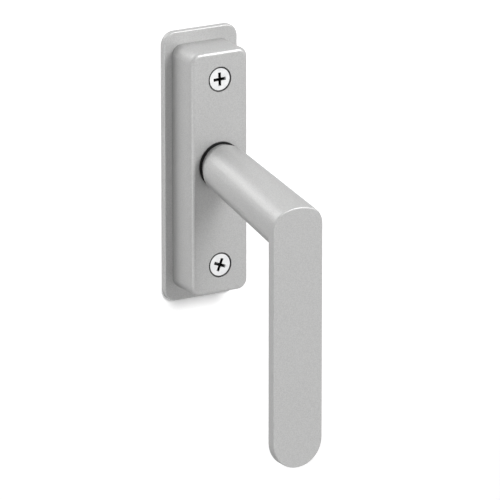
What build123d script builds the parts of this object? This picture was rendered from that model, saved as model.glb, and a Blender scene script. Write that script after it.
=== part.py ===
from build123d import *

import os
from math import acos, cos, degrees, radians, sin, tan

# Sliding door latch handle, in millimetres.
# The origin is where the spindle's axis meets the door face.
# X is to the right, Y goes into the door and Z is up.
# Most places are given as a distance out from the door face, so "out" is minus Y.

# Housing
housing_width = 25.4
housing_height = 98.4
housing_depth = 15.0
housing_corner_radius = 4.3
housing_front_round = 1.8
housing_draft = 0.7
housing_drop = 3.2
housing_wall = 2.2
housing_front_wall = 2.6

# Back plate, which shows all round the housing
plate_side_margin = 3.65
plate_end_margin = 5.35
plate_thickness = 2.2
plate_corner_radius = 5.1
plate_edge_round = 0.65

# Fits
running_clearance = 0.05
seat_clearance = 0.03
assembly_gap = 0.1

# Lever: a neck that falls towards the blade, and a flat blade that hangs from it
neck_side_room = 3.1
neck_base_round = 3.5
neck_reach = 60.0
neck_fall = 11.1
neck_side_arc = 1.0
neck_shoulder_parts = 4
neck_top_parts = 3
journal_step = 1.2
hub_step = 1.7
blade_width = 21.6
blade_thickness = 3.9
blade_rise = 9.4
blade_reach = 95.1
blade_top_radius = 18.0
blade_shoulder_radius = 7.0
blade_edge_round = 0.6

# Neck bush
bush_wall = 0.75
bush_flange_diameter = 24.0
bush_flange_thickness = 1.2
bush_stand_out = 0.8

# Washers and ring behind the bush
thrust_washer_thickness = 0.6
disc_spring_margin = 0.3
disc_spring_thickness = 0.4
disc_spring_height = 0.9
ring_thickness = 1.0
ring_width = 2.4
ring_groove_depth = 0.5
ring_gap_angle = 50.0
ring_lug_diameter = 2.8
ring_lug_hole = 1.2

# Spindle and its pin
spindle_size = 7.0
spindle_projection = 20.0
spindle_chamfer = 0.8
socket_depth = 20.0
pin_diameter = 2.5
pin_wall = 0.45
pin_slit = 0.5
pin_stand_out = 3.0
pin_edge_wall = 1.0

# Index cam, its springs and the stops
cam_size = 13.0
cam_corner_round = 1.2
cam_collar_diameter = 11.0
spring_thickness = 0.5
spring_half_length = 20.0
spring_flat = 8.0
spring_set = 0.9
spring_bend_radius = 4.0
pocket_length = 4.5
pocket_lip = 1.4
pocket_end_wall = 2.0
stop_height = 5.0
stop_engagement = 2.6

# Rear bush in the back plate
rear_bush_wall = 2.0
rear_bush_flange_width = 1.5
rear_bush_flange_thickness = 1.0
rear_bush_recess = 0.3

# Door screws
screw_end_distance = 11.7
screw_head_diameter = 8.8
screw_head_rim = 0.25
screw_plain_diameter = 4.4
screw_thread_diameter = 5.0
screw_thread_start = -0.3
screw_projection = 18.0
screw_hole_clearance = 0.3
screw_sink = 0.2
screw_rim_gap = 0.65
screw_rim_depth = 1.2
screw_recess_span = 5.4
screw_recess_wing = 1.2
screw_recess_depth = 2.4
upper_recess_turn = 2.0
lower_recess_turn = -22.0
post_diameter = 9.6

# Plate screws
plate_screw_offset = 8.6
plate_screw_head_diameter = 5.5
plate_screw_diameter = 3.0
plate_screw_length = 9.0
plate_screw_sink = 0.2
plate_screw_recess_span = 2.8
plate_screw_recess_wing = 0.8
plate_screw_recess_depth = 1.1
boss_diameter = 6.4

# Places out from the door face
housing_face = plate_thickness + housing_depth
front_wall_inside = housing_face - housing_front_wall
bush_back = front_wall_inside - bush_flange_thickness
journal_back = bush_back + assembly_gap
thrust_washer_back = bush_back - thrust_washer_thickness
disc_spring_back = thrust_washer_back - disc_spring_height
ring_back = disc_spring_back - ring_thickness
pin_out = ring_back - pin_edge_wall - pin_diameter / 2
hub_back = pin_out - pin_diameter / 2 - pin_edge_wall
cam_front = hub_back - assembly_gap
cam_back = plate_thickness + rear_bush_flange_thickness + assembly_gap
neck_base = housing_face + bush_stand_out + assembly_gap
blade_front = housing_face + neck_reach
blade_back = blade_front - blade_thickness
socket_front = hub_back + socket_depth
screw_head_out = housing_face - screw_sink

# Sizes that follow from the ones above
plate_width = housing_width + 2 * plate_side_margin
plate_height = housing_height + 2 * plate_end_margin
neck_radius = housing_width / 2 - neck_side_room
journal_radius = neck_radius - journal_step
hub_radius = journal_radius - hub_step
blade_back_lift = neck_fall * blade_thickness / (blade_front - neck_base)
bush_bore_radius = journal_radius + running_clearance
bore_radius = bush_bore_radius + bush_wall
thrust_washer_radius = bore_radius - assembly_gap
rear_bush_radius = cam_collar_diameter / 2 + running_clearance + rear_bush_wall
socket_size = spindle_size + 2 * seat_clearance
pin_hole_radius = pin_diameter / 2 + seat_clearance
screw_hole_radius = screw_thread_diameter / 2 + screw_hole_clearance
screw_rim_radius = screw_head_diameter / 2 + screw_rim_gap
screw_seat_radius = screw_head_diameter / 2 - screw_rim_depth + screw_sink + screw_head_rim
spring_inner = cam_size / 2 + seat_clearance
spring_front = cam_front - assembly_gap
spring_back = plate_thickness + rear_bush_flange_thickness
cavity_half_width = housing_width / 2 - housing_wall
cavity_narrowing = (front_wall_inside - plate_thickness) * tan(radians(housing_draft))
bush_flat = cavity_half_width - cavity_narrowing - assembly_gap
screw_offset = housing_height / 2 - screw_end_distance
screw_heights = (screw_offset - housing_drop, -screw_offset - housing_drop)
plate_screw_heights = (screw_heights[0] - plate_screw_offset, screw_heights[1] + plate_screw_offset)


def level(out, height=0.0):
    """Plane parallel to the door face, facing the room, centred on the middle line at a height."""
    return Plane.XZ.offset(out) * Pos(0, height, 0)


def slab(sketch, back, front, height=0.0):
    """Sketch drawn as seen from the room, filled from one distance out to another."""
    return extrude(level(back, height) * sketch, front - back)


def disc(radius, back, front, height=0.0):
    """Round slab about a line that goes straight out from the door."""
    return slab(Circle(radius), back, front, height)


def block(x_from, x_to, z_from, z_to, back, front):
    """Rectangular block between pairs of limits."""
    centre = Pos((x_from + x_to) / 2, (z_from + z_to) / 2)
    return slab(centre * Rectangle(x_to - x_from, z_to - z_from), back, front)


def cone_hole(mouth_radius, throat_radius, mouth_out, outwards):
    """Countersink of 90 degrees whose mouth is at mouth_out; outwards is 1 when it opens to the room."""
    depth = mouth_radius - throat_radius
    centre = Location((0, -mouth_out + outwards * depth / 2, 0), (90 * outwards, 0, 0))
    return centre * Cone(throat_radius, mouth_radius, depth)


def both_sides(piece):
    """A piece and its mirror image on the other side of the middle line."""
    return [piece, mirror(piece, about=Plane.YZ)]


def back_plate():
    outline = RectangleRounded(plate_width, plate_height, plate_corner_radius)
    plate = slab(outline, 0, plate_thickness, -housing_drop)
    plate = fillet(plate.faces().sort_by(Axis.Y)[0].edges(), plate_edge_round)
    plate -= disc(rear_bush_radius + seat_clearance, 0, plate_thickness)
    for height in screw_heights:
        plate -= disc(screw_hole_radius, 0, plate_thickness, height)
    hole_radius = plate_screw_diameter / 2 + seat_clearance
    mouth_radius = plate_screw_head_diameter / 2 + plate_screw_sink + seat_clearance
    for height in plate_screw_heights:
        plate -= disc(hole_radius, 0, plate_thickness, height)
        plate -= Pos(0, 0, height) * cone_hole(mouth_radius, hole_radius, 0, -1)
    return plate


def spring_pocket():
    """Rib on the right wall, above the cam, with the slot that holds one end of a flat spring."""
    end_inner = spring_inner + spring_set
    rib_from = spring_half_length - pocket_length
    rib_to = spring_half_length + pocket_end_wall
    rib = block(end_inner - pocket_lip, housing_width / 2 - housing_wall / 2, rib_from, rib_to,
                plate_thickness + assembly_gap, front_wall_inside)
    slot = block(end_inner - assembly_gap, end_inner + spring_thickness + seat_clearance,
                 rib_from, spring_half_length + assembly_gap, plate_thickness, cam_front)
    return rib - slot


def stop_lug():
    """Lug on the right wall that the pin's long end meets after a quarter turn."""
    top = -pin_hole_radius - assembly_gap
    return block(cavity_half_width - stop_engagement, housing_width / 2 - housing_wall / 2,
                 top - stop_height, top, hub_back + assembly_gap, ring_back - 2 * assembly_gap)


def housing():
    outline = RectangleRounded(housing_width, housing_height, housing_corner_radius)
    cover = extrude(level(plate_thickness, -housing_drop) * outline, housing_depth, taper=housing_draft)
    cover = fillet(cover.faces().sort_by(Axis.Y)[0].edges(), housing_front_round)
    cavity_width = housing_width - 2 * housing_wall
    cavity_height = housing_height - 2 * housing_wall
    cavity_outline = RectangleRounded(cavity_width, cavity_height, housing_corner_radius - housing_wall)
    cavity_depth = front_wall_inside - plate_thickness
    cavity_start = level(plate_thickness, -housing_drop) * cavity_outline
    cover -= extrude(cavity_start, cavity_depth, taper=housing_draft)
    pocket = spring_pocket()
    inside = both_sides(pocket) + both_sides(mirror(pocket, about=Plane.XY)) + both_sides(stop_lug())
    for height in screw_heights:
        inside.append(disc(post_diameter / 2, plate_thickness, front_wall_inside, height))
    for height in plate_screw_heights:
        inside.append(disc(boss_diameter / 2, plate_thickness, front_wall_inside, height))
    for rib in inside:
        cover += rib
    cover -= disc(bore_radius, front_wall_inside, housing_face)
    for height in screw_heights:
        cover -= disc(screw_hole_radius, plate_thickness, housing_face, height)
        cover -= disc(screw_rim_radius, housing_face - screw_rim_depth, housing_face, height)
        seat = cone_hole(screw_seat_radius, screw_hole_radius, housing_face - screw_rim_depth, 1)
        cover -= Pos(0, 0, height) * seat
    hole_radius = plate_screw_diameter / 2 + seat_clearance
    hole_end = plate_screw_sink + plate_screw_length + assembly_gap
    for height in plate_screw_heights:
        cover -= disc(hole_radius, plate_thickness, hole_end, height)
    return cover


def neck_bush():
    sleeve = disc(bore_radius - seat_clearance, bush_back, housing_face + bush_stand_out)
    flange = Circle(bush_flange_diameter / 2) & Rectangle(2 * bush_flat, bush_flange_diameter)
    bush = sleeve + slab(flange, bush_back, front_wall_inside)
    return bush - disc(bush_bore_radius, bush_back, housing_face + bush_stand_out)


def rear_bush():
    bush = disc(rear_bush_radius, rear_bush_recess, plate_thickness)
    flange_radius = rear_bush_radius + rear_bush_flange_width
    bush += disc(flange_radius, plate_thickness, plate_thickness + rear_bush_flange_thickness)
    return bush - disc(cam_collar_diameter / 2 + running_clearance, 0, cam_back)


def end_arcs(shoulder_parts, top_parts):
    """Centre, radius, first turn and turn of each arc of the neck's end, from the right over its top."""
    shoulder_x = blade_width / 2 - blade_shoulder_radius
    between = blade_top_radius - blade_shoulder_radius
    meet = degrees(acos(shoulder_x / between))
    top_z = blade_rise - blade_top_radius
    shoulder_z = top_z + between * sin(radians(meet))
    whole_arcs = [
        ((shoulder_x, shoulder_z), blade_shoulder_radius, 0, meet, shoulder_parts),
        ((0, top_z), blade_top_radius, meet, 180 - meet, top_parts),
        ((-shoulder_x, shoulder_z), blade_shoulder_radius, 180 - meet, 180, shoulder_parts),
    ]
    arcs = []
    for centre, radius, start, end, parts in whole_arcs:
        turn = (end - start) / parts
        arcs += [(centre, radius, start + part * turn, turn) for part in range(parts)]
    return arcs


def whole_section(upper):
    """Section from its right side and the arcs over its top. The lower half is the same, turned over."""
    return Face(Wire(upper + [Rot(0, 0, 180) * edge for edge in upper]))


def neck_end(arcs):
    """Section of the neck where it runs into the blade: an arch above, and the same arch below."""
    half = blade_width / 2
    shoulder_z = arcs[0][0][1]
    side = Line((half, -shoulder_z), (half, shoulder_z))
    return whole_section([side] + [CenterArc(*arc) for arc in arcs])


def neck_start(arcs):
    """Round section at the neck's base. Its arcs turn as far as the end's, so plain cones join them."""
    half_side = neck_side_arc / 2
    starts = [start for centre, radius, start, turn in arcs[1:]]
    turns = [-half_side, half_side] + starts + [180 - half_side]
    return whole_section([CenterArc((0, 0), neck_radius, a, b - a) for a, b in zip(turns, turns[1:])])


def neck():
    """Neck from its rounded base to the blade's back. Short arcs keep each face of the loft near flat."""
    arcs = end_arcs(neck_shoulder_parts, neck_top_parts)
    body = loft([
        level(neck_base) * neck_start(arcs),
        level(blade_back, blade_back_lift - neck_fall) * neck_end(arcs),
    ], ruled=True)
    return fillet(body.faces().sort_by(Axis.Y)[-1].edges(), neck_base_round)


def blade():
    """Flat blade with a round lower end. Its arched top carries on the fall of the neck."""
    length = blade_reach - blade_width / 2
    outline = Pos(0, -length / 2) * Rectangle(blade_width, length)
    outline += Pos(0, -length) * Circle(blade_width / 2)
    body = slab(outline, blade_back, blade_front, -neck_fall)
    fall_line = Vector(0, blade_thickness, blade_back_lift)
    top = level(blade_front, -neck_fall) * neck_end(end_arcs(1, 1))
    body += extrude(top, fall_line.length, dir=fall_line)
    return fillet(body.faces().sort_by(Axis.Y)[0].edges(), blade_edge_round)


def lever():
    body = blade() + neck()
    body += disc(journal_radius, journal_back, neck_base + neck_base_round)
    body += disc(hub_radius, hub_back, journal_back)
    groove = disc(hub_radius, ring_back - seat_clearance, disc_spring_back)
    body -= groove - disc(hub_radius - ring_groove_depth, ring_back - seat_clearance, disc_spring_back)
    body -= slab(Rectangle(socket_size, socket_size), hub_back, socket_front)
    body -= Pos(0, -pin_out, 0) * Cylinder(pin_hole_radius, 4 * hub_radius)
    return body


def thrust_washer():
    return disc(thrust_washer_radius, thrust_washer_back, bush_back) - disc(
        hub_radius + running_clearance, thrust_washer_back, bush_back)


def disc_spring():
    """Conical spring washer: its rim bears on the thrust washer and its inner edge on the ring."""
    inner = hub_radius + running_clearance
    outer = thrust_washer_radius - disc_spring_margin
    dish = disc_spring_height - disc_spring_thickness
    section = Polyline((inner, 0), (outer, dish), (outer, dish + disc_spring_thickness),
                       (inner, disc_spring_thickness), close=True)
    washer = revolve(Plane.XZ * make_face(section), axis=Axis.Z)
    return level(disc_spring_back) * washer


def retaining_ring():
    """Open ring with two eyes, sprung into the hub's groove."""
    inner = hub_radius - ring_groove_depth + seat_clearance
    middle = inner + ring_width / 2
    ring = Circle(inner + ring_width) - Circle(inner)
    reach = 2 * (inner + ring_width)
    half_gap = ring_gap_angle / 2
    gap = make_face(Polyline(
        (0, 0), (-reach * sin(radians(half_gap)), -reach * cos(radians(half_gap))),
        (reach * sin(radians(half_gap)), -reach * cos(radians(half_gap))), close=True))
    ring -= gap
    for side in (-1, 1):
        turn = radians(half_gap) * side
        eye = Pos(middle * sin(turn), -middle * cos(turn))
        ring += eye * Circle(ring_lug_diameter / 2)
        ring -= eye * Circle(ring_lug_hole / 2)
    ring -= Circle(inner)
    return slab(ring, ring_back, disc_spring_back - seat_clearance)


def spindle():
    end = -spindle_projection
    bar = slab(Rectangle(spindle_size, spindle_size), end, socket_front - assembly_gap)
    bar = chamfer(bar.faces().sort_by(Axis.Y)[-1].edges(), spindle_chamfer)
    return bar - Pos(0, -pin_out, 0) * Cylinder(pin_hole_radius, 2 * spindle_size)


def spindle_pin():
    """Slit spring pin through the hub and the spindle. Its long upper end is the lever's stop."""
    low = -hub_radius + assembly_gap
    high = hub_radius + pin_stand_out
    tube = Circle(pin_diameter / 2) - Circle(pin_diameter / 2 - pin_wall)
    tube -= Pos(0, pin_diameter / 2) * Rectangle(pin_slit, pin_diameter)
    return Pos(0, -pin_out, low) * extrude(tube, high - low)


def index_cam():
    block_outline = RectangleRounded(cam_size, cam_size, cam_corner_round)
    cam = slab(block_outline, cam_back, cam_front)
    cam += disc(cam_collar_diameter / 2, rear_bush_recess, cam_back)
    return cam - slab(Rectangle(socket_size, socket_size), rear_bush_recess, cam_front)


def detent_spring_right():
    """Flat spring that lies on the cam's side, with its ends set outwards into the pockets."""
    middle = spring_inner + spring_thickness / 2
    end = middle + spring_set
    bend_end = spring_half_length - pocket_length
    route = FilletPolyline(
        (end, -spring_half_length), (end, -bend_end), (middle, -spring_flat),
        (middle, spring_flat), (end, bend_end), (end, spring_half_length), radius=spring_bend_radius)
    return slab(trace(route, spring_thickness), spring_back, spring_front)


def detent_spring_left():
    return mirror(detent_spring_right(), about=Plane.YZ)


def cross_recess(span, wing, depth, turn):
    """Tapered cross, cut down from a screw head's top."""
    mouth = Rectangle(span, wing) + Rectangle(wing, span)
    floor = scale(mouth, 0.5)
    return Rot(0, 0, turn) * loft([mouth, Pos(0, 0, -depth) * floor], ruled=True)


def countersunk_screw(head_radius, rim, plain_radius, thread_radius, plain_length, length, recess):
    """Screw along Z, with the top of its head at zero and its tip at minus length."""
    cone_depth = head_radius - plain_radius
    tip_chamfer = thread_radius / 4
    profile = Polyline(
        (0, 0), (head_radius, 0), (head_radius, -rim), (plain_radius, -rim - cone_depth),
        (plain_radius, -plain_length), (thread_radius, -plain_length - thread_radius + plain_radius),
        (thread_radius, tip_chamfer - length), (thread_radius - tip_chamfer, -length),
        (0, -length), close=True)
    body = revolve(Plane.XZ * make_face(profile), axis=Axis.Z)
    return body - recess


def door_screw(height, turn):
    recess = cross_recess(screw_recess_span, screw_recess_wing, screw_recess_depth, turn)
    screw = countersunk_screw(
        screw_head_diameter / 2, screw_head_rim, screw_plain_diameter / 2, screw_thread_diameter / 2,
        screw_head_out + screw_thread_start, screw_head_out + screw_projection, recess)
    return level(screw_head_out, height) * screw


def plate_screw(height):
    recess = cross_recess(plate_screw_recess_span, plate_screw_recess_wing, plate_screw_recess_depth, 0)
    radius = plate_screw_diameter / 2
    screw = countersunk_screw(
        plate_screw_head_diameter / 2, seat_clearance, radius - seat_clearance, radius,
        plate_thickness, plate_screw_length, recess)
    return Plane(origin=(0, -plate_screw_sink, height), x_dir=(1, 0, 0), z_dir=(0, 1, 0)) * screw


pieces = {
    "back_plate": back_plate(),
    "housing": housing(),
    "neck_bush": neck_bush(),
    "rear_bush": rear_bush(),
    "lever": lever(),
    "thrust_washer": thrust_washer(),
    "disc_spring": disc_spring(),
    "retaining_ring": retaining_ring(),
    "spindle": spindle(),
    "spindle_pin": spindle_pin(),
    "index_cam": index_cam(),
    "detent_spring_left": detent_spring_left(),
    "detent_spring_right": detent_spring_right(),
    "screw_upper": door_screw(screw_heights[0], upper_recess_turn),
    "screw_lower": door_screw(screw_heights[1], lower_recess_turn),
    "plate_screw_upper": plate_screw(plate_screw_heights[0]),
    "plate_screw_lower": plate_screw(plate_screw_heights[1]),
}

os.makedirs("parts", exist_ok=True)
for name, piece in pieces.items():
    export_step(piece, f"parts/{name}.step")
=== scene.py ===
import math
import bmesh
import bpy
from mathutils import Matrix, Vector

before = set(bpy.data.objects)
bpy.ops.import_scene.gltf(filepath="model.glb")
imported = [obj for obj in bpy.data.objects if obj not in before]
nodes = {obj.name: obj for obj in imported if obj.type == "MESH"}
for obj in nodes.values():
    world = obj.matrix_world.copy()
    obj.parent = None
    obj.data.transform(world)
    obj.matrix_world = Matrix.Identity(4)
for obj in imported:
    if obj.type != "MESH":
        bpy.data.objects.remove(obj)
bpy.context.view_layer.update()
print("frame loaded with", len(nodes), "nodes")


noiseSpread = (0.3, 0.7)   # nearly all of a noise lies between these
doorSide = (0.8, 0.9)      # how squarely a face looks into the door, from not quite to fully
hollowSamples = 16


# small helpers for node trees

def newMaterial(name):
    material = bpy.data.materials.new(name)
    material.use_nodes = True
    tree = material.node_tree
    coords = tree.nodes.new("ShaderNodeTexCoord")
    return material, tree, tree.nodes["Principled BSDF"], coords.outputs["Object"]


def linkNodes(tree, pairs):
    for source, target in pairs:
        tree.links.new(source, target)


def addNoise(tree, coords, scale, detail):
    noise = tree.nodes.new("ShaderNodeTexNoise")
    noise.inputs["Scale"].default_value = scale
    noise.inputs["Detail"].default_value = detail
    tree.links.new(coords, noise.inputs["Vector"])
    return noise.outputs["Fac"]


def addRange(tree, value, low, high, spread=noiseSpread):
    remap = tree.nodes.new("ShaderNodeMapRange")
    remap.inputs["From Min"].default_value = spread[0]
    remap.inputs["From Max"].default_value = spread[1]
    remap.inputs["To Min"].default_value = low
    remap.inputs["To Max"].default_value = high
    tree.links.new(value, remap.inputs["Value"])
    return remap.outputs["Result"]


def addRamp(tree, value, dark, light):
    ramp = tree.nodes.new("ShaderNodeValToRGB")
    for stop, place, colour in zip(ramp.color_ramp.elements, noiseSpread, (dark, light)):
        stop.position = place
        stop.color = colour
    tree.links.new(value, ramp.inputs["Fac"])
    return ramp.outputs["Color"]


def addBump(tree, shader, height, strength, distance):
    bump = tree.nodes.new("ShaderNodeBump")
    bump.inputs["Strength"].default_value = strength
    bump.inputs["Distance"].default_value = distance
    linkNodes(tree, [(height, bump.inputs["Height"]), (bump.outputs["Normal"], shader.inputs["Normal"])])


def addMath(tree, operation, first, second):
    step = tree.nodes.new("ShaderNodeMath")
    step.operation = operation
    linkNodes(tree, [(first, step.inputs[0]), (second, step.inputs[1])])
    return step.outputs[0]


# painted shade: darkens the colour in joints and recesses by how hidden they are, but not the faces that
# look into the door
def addPaintedShade(tree, colour, paintedShade):
    hollow = tree.nodes.new("ShaderNodeAmbientOcclusion")
    hollow.samples = hollowSamples
    hollow.inputs["Distance"].default_value = paintedShade["reach"]
    facing = tree.nodes.new("ShaderNodeSeparateXYZ")
    tree.links.new(tree.nodes["Texture Coordinate"].outputs["Normal"], facing.inputs[0])
    openShare = addRange(tree, hollow.outputs["AO"], 0.0, 1.0, paintedShade["fullToClear"])
    backShare = addRange(tree, facing.outputs["Y"], 0.0, 1.0, doorSide)
    mix = tree.nodes.new("ShaderNodeMix")
    mix.data_type = "RGBA"
    mix.inputs["A"].default_value = paintedShade["colour"]
    unshaded = addMath(tree, "MAXIMUM", openShare, backShare)
    linkNodes(tree, [(unshaded, mix.inputs["Factor"]), (colour, mix.inputs["B"])])
    return mix.outputs["Result"]


# anodised light grey metal of the plate, the housing and the lever
satinMetal = {
    "dark": (0.57, 0.57, 0.567, 1), "light": (0.67, 0.67, 0.666, 1),
    "metallic": 0.35, "shine": 0.15, "edgeTint": (0.35, 0.35, 0.35, 1),
    "grain": 2600.0, "grainDetail": 1.0, "grainBump": 0.12, "grainHeight": 0.00005,
    "cloud": 60.0, "cloudDetail": 3.0, "roughness": (0.36, 0.42),
    # painted shade in joints and recesses: its colour, its reach in metres and its range from full shade to
    # none
    "paintedShade": {"colour": (0.05, 0.05, 0.05, 1), "reach": 0.0012, "fullToClear": (0.3, 0.62)},
}


def makeSatinMetal():
    material, tree, shader, coords = newMaterial("satinMetal")
    shader.inputs["Metallic"].default_value = satinMetal["metallic"]
    shader.inputs["Specular IOR Level"].default_value = satinMetal["shine"]
    shader.inputs["Specular Tint"].default_value = satinMetal["edgeTint"]
    grain = addNoise(tree, coords, satinMetal["grain"], satinMetal["grainDetail"])
    cloud = addNoise(tree, coords, satinMetal["cloud"], satinMetal["cloudDetail"])
    colour = addRamp(tree, grain, satinMetal["dark"], satinMetal["light"])
    # painted shade darkens the colour in joints and recesses
    colour = addPaintedShade(tree, colour, satinMetal["paintedShade"])
    roughness = addRange(tree, cloud, *satinMetal["roughness"])
    linkNodes(tree, [(colour, shader.inputs["Base Color"]), (roughness, shader.inputs["Roughness"])])
    addBump(tree, shader, grain, satinMetal["grainBump"], satinMetal["grainHeight"])
    return material


# plainer finishes, which vary only in one soft cloud
plainFinishes = {
    "zincPlate": {
        "dark": (0.84, 0.85, 0.86, 1), "light": (0.92, 0.92, 0.92, 1),
        "metallic": 0.8, "shine": 0.5, "cloud": 400.0, "roughness": (0.25, 0.4),
        # painted shade, near black, in the screw recesses and at the joints
        "paintedShade": {"colour": (0.012, 0.012, 0.013, 1), "reach": 0.0022, "fullToClear": (0.45, 0.8)},
    },
    "drawnSteel": {
        "dark": (0.38, 0.38, 0.39, 1), "light": (0.48, 0.48, 0.49, 1),
        "metallic": 1.0, "shine": 0.5, "cloud": 300.0, "roughness": (0.3, 0.45), "paintedShade": None,
    },
    "springSteel": {
        "dark": (0.12, 0.12, 0.13, 1), "light": (0.2, 0.2, 0.21, 1),
        "metallic": 1.0, "shine": 0.5, "cloud": 300.0, "roughness": (0.3, 0.4), "paintedShade": None,
    },
    "blackNylon": {
        "dark": (0.004, 0.004, 0.0045, 1), "light": (0.008, 0.008, 0.0085, 1),
        "metallic": 0.0, "shine": 0.2, "cloud": 800.0, "roughness": (0.6, 0.75), "paintedShade": None,
    },
}
plainCloudDetail = 3.0


def makePlainFinish(name, finish):
    material, tree, shader, coords = newMaterial(name)
    shader.inputs["Metallic"].default_value = finish["metallic"]
    shader.inputs["Specular IOR Level"].default_value = finish["shine"]
    cloud = addNoise(tree, coords, finish["cloud"], plainCloudDetail)
    colour = addRamp(tree, cloud, finish["dark"], finish["light"])
    # painted shade in joints and recesses, where a finish has it
    if finish["paintedShade"]:
        colour = addPaintedShade(tree, colour, finish["paintedShade"])
    roughness = addRange(tree, cloud, *finish["roughness"])
    linkNodes(tree, [(colour, shader.inputs["Base Color"]), (roughness, shader.inputs["Roughness"])])
    return material


materials = {"satinMetal": makeSatinMetal()}
for name, finish in plainFinishes.items():
    materials[name] = makePlainFinish(name, finish)
print("materials made:", ", ".join(materials))

finishOf = {
    "satinMetal": ["back_plate", "housing", "lever"],
    "zincPlate": ["screw_upper", "screw_lower", "plate_screw_upper", "plate_screw_lower"],
    "drawnSteel": ["spindle", "index_cam", "thrust_washer"],
    "springSteel": [
        "spindle_pin", "disc_spring", "retaining_ring", "detent_spring_left", "detent_spring_right",
    ],
    "blackNylon": ["neck_bush", "rear_bush"],
}
for finishName, members in finishOf.items():
    for member in members:
        nodes[member].data.materials.clear()
        nodes[member].data.materials.append(materials[finishName])
    print(finishName, "on", ", ".join(members))


# 1 for rays from the camera, reflections and clear parts, and 0 for light on a surface
def addSeen(tree):
    path = tree.nodes.new("ShaderNodeLightPath")
    mirrored = addMath(tree, "MAXIMUM", path.outputs["Is Glossy Ray"], path.outputs["Is Transmission Ray"])
    return addMath(tree, "MAXIMUM", path.outputs["Is Camera Ray"], mirrored)


# the wall that the handle is on, and a floor below it, in metres
backdrop = {
    "reach": 1.5, "wallGap": 0.0003, "floorDrop": 0.6,
    "colour": (0.9, 0.9, 0.9, 1), "wallGlow": 0.32, "floorGlow": 0.85,
}


# pale paint that shows from its front only, and lets the lamps shine through
def makePalePaint(name, strength):
    material = bpy.data.materials.new(name)
    material.use_nodes = True
    tree = material.node_tree
    tree.nodes.clear()
    paint = tree.nodes.new("ShaderNodeBsdfDiffuse")
    paint.inputs["Color"].default_value = backdrop["colour"]
    glow = tree.nodes.new("ShaderNodeEmission")
    glow.inputs["Strength"].default_value = strength
    both = tree.nodes.new("ShaderNodeAddShader")
    clear = tree.nodes.new("ShaderNodeBsdfTransparent")
    blend = tree.nodes.new("ShaderNodeMixShader")
    output = tree.nodes.new("ShaderNodeOutputMaterial")
    fromBehind = tree.nodes.new("ShaderNodeNewGeometry").outputs["Backfacing"]
    shown = addMath(tree, "GREATER_THAN", addSeen(tree), fromBehind)
    linkNodes(tree, [
        (paint.outputs[0], both.inputs[0]), (glow.outputs[0], both.inputs[1]),
        (shown, blend.inputs[0]), (clear.outputs[0], blend.inputs[1]), (both.outputs[0], blend.inputs[2]),
        (blend.outputs[0], output.inputs["Surface"]),
    ])
    return material


def makeSheet(name, turn, place, glow):
    mesh = bpy.data.meshes.new(name)
    sheet = bmesh.new()
    bmesh.ops.create_grid(sheet, x_segments=1, y_segments=1, size=backdrop["reach"])
    upright = Matrix.Rotation(math.radians(turn), 3, "X")
    bmesh.ops.rotate(sheet, verts=sheet.verts, cent=(0, 0, 0), matrix=upright)
    bmesh.ops.translate(sheet, verts=sheet.verts, vec=place)
    sheet.to_mesh(mesh)
    sheet.free()
    mesh.materials.append(makePalePaint(name + "Paint", glow))
    piece = bpy.data.objects.new(name, mesh)
    bpy.context.scene.collection.objects.link(piece)
    return piece


wall = makeSheet("wall", 90, (0, backdrop["wallGap"], 0), backdrop["wallGlow"])
floor = makeSheet("floor", 0, (0, -backdrop["reach"], -backdrop["floorDrop"]), backdrop["floorGlow"])
print("wall and floor made")


# direction from the part, with turn to the right of its front and tilt upwards in degrees
def towards(turn, tilt):
    turn = math.radians(turn)
    tilt = math.radians(tilt)
    return Vector((math.sin(turn) * math.cos(tilt), -math.cos(turn) * math.cos(tilt), math.sin(tilt)))


# every lamp stands lampReach metres from the part, with its size in metres and its power in watts
lampReach = 1.0
lamps = {
    "keyLamp": {"turn": 32.0, "tilt": 29.0, "size": 0.5, "power": 6.0},
    "rimLamp": {"turn": -134.0, "tilt": 47.0, "size": 0.65, "power": 5.6},
    "lowLamp": {"turn": 0.0, "tilt": -25.0, "size": 0.5, "power": 0.7},
    "edgeLamp": {"turn": -60.0, "tilt": -14.0, "size": 0.15, "power": 1.1},
    "wallLamp": {"turn": 3.0, "tilt": 26.0, "size": 0.3, "power": 9.0},
}


def makeLamp(name, lamp):
    light = bpy.data.lights.new(name, "AREA")
    light.shape = "SQUARE"
    light.size = lamp["size"]
    light.energy = lamp["power"]
    holder = bpy.data.objects.new(name, light)
    holder.location = lampReach * towards(lamp["turn"], lamp["tilt"])
    holder.rotation_euler = (-holder.location).to_track_quat("-Z", "Y").to_euler()
    bpy.context.scene.collection.objects.link(holder)
    return holder


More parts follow.
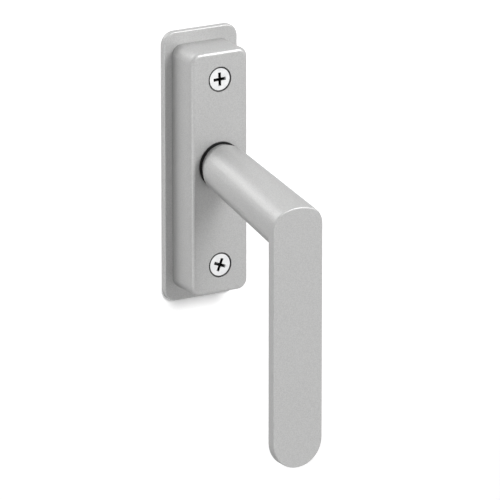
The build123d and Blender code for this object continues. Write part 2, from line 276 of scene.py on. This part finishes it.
def linkGroup(name, pieces, state):
    group = bpy.data.collections.new(name)
    for piece in pieces:
        group.objects.link(piece)
    for member in group.collection_objects:
        member.light_linking.link_state = state
    return group


# the wall lamp lights only the backdrop, and the other lamps only the part
for name, lamp in lamps.items():
    state = "INCLUDE" if name == "wallLamp" else "EXCLUDE"
    holder = makeLamp(name, lamp)
    holder.light_linking.receiver_collection = linkGroup(name + "Lights", [wall, floor], state)
    if name == "wallLamp":   # the photo shows no shadow of the lever on the wall
        holder.light_linking.blocker_collection = linkGroup(name + "Shadows", [nodes["lever"]], "EXCLUDE")
print("lamps made:", ", ".join(lamps))


studio = {"shown": 1.0, "soft": 0.15}   # the world is white where it is seen, and soft as light on the part


def makeWorld():
    world = bpy.data.worlds.new("studio")
    world.use_nodes = True
    tree = world.node_tree
    background = tree.nodes["Background"]
    background.inputs["Color"].default_value = (1, 1, 1, 1)
    strength = addRange(tree, addSeen(tree), studio["soft"], studio["shown"], (0.0, 1.0))
    tree.links.new(strength, background.inputs["Strength"])
    bpy.context.scene.world = world


# the photo's angle in degrees, the framing in metres, lens and sensor in millimetres
photoCamera = {
    "azimuth": -30.0, "elevation": 17.2, "distance": 2.34, "right": 0.0202, "up": -0.0375,
    "lens": 432.0, "sensor": 36.0, "clipStart": 0.05, "clipEnd": 20.0,
}


def makeCamera():
    camera = bpy.data.cameras.new("photoCamera")
    camera.sensor_width = photoCamera["sensor"]
    camera.lens = photoCamera["lens"]
    camera.clip_start = photoCamera["clipStart"]
    camera.clip_end = photoCamera["clipEnd"]
    turn = math.radians(photoCamera["azimuth"])
    back = towards(photoCamera["azimuth"], photoCamera["elevation"])
    right = Vector((math.cos(turn), math.sin(turn), 0))
    up = back.cross(right)
    spot = back * photoCamera["distance"] + right * photoCamera["right"] + up * photoCamera["up"]
    axes = Matrix((right, up, back)).transposed()
    holder = bpy.data.objects.new("photoCamera", camera)
    holder.matrix_world = Matrix.Translation(spot) @ axes.to_4x4()
    bpy.context.scene.collection.objects.link(holder)
    bpy.context.scene.camera = holder


makeWorld()
makeCamera()
bpy.context.scene.view_settings.view_transform = "Standard"
print("world and camera made")
